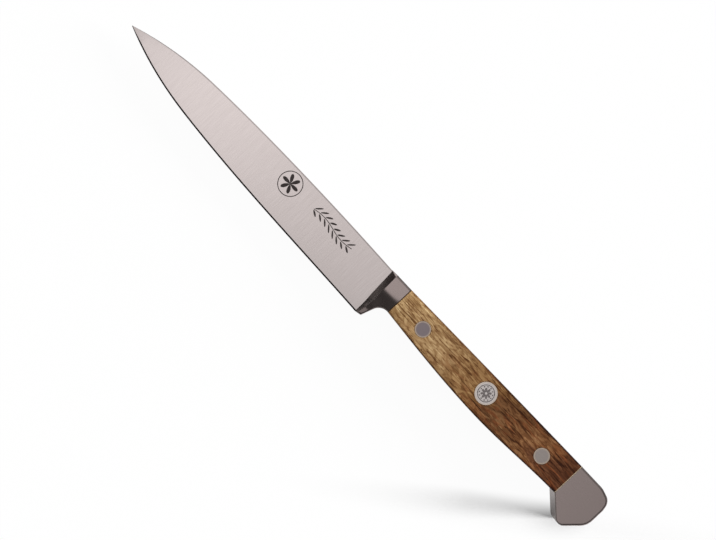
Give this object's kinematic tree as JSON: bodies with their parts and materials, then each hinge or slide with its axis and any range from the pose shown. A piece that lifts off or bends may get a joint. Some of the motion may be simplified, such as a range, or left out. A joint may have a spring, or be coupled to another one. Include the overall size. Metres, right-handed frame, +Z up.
{
  "type": "paring knife",
  "caption": "Slim kitchen paring knife with a pointed blade, bolster with finger guard, full tang, riveted oak handle and steel butt cap, lying on its side.",
  "frame": {"origin": "centre of the bounding box's bottom, under the knife as it lies on its side", "axes": "+X from the tip to the butt, +Y from the cutting edge to the spine, +Z up through the thickness of the handle"},
  "size_m": [0.244, 0.0214, 0.0145],
  "materials": {
    "blade_steel": "satin ground stainless steel, with bright bolster and butt cap",
    "oak": "oiled barrel oak, light tan at the bolster and dark brown at the butt, with open pores",
    "rivet_steel": "ground flush with the wood"
  },
  "bodies": {
    "root": {"blade_forging": "blade_steel", "front_scale": "oak", "back_scale": "oak", "front_rivet_barrel": "rivet_steel", "front_rivet_post": "rivet_steel", "middle_rivet_barrel": "rivet_steel", "middle_rivet_post": "rivet_steel", "rear_rivet_barrel": "rivet_steel", "rear_rivet_post": "rivet_steel"}
  },
  "joints": []
}
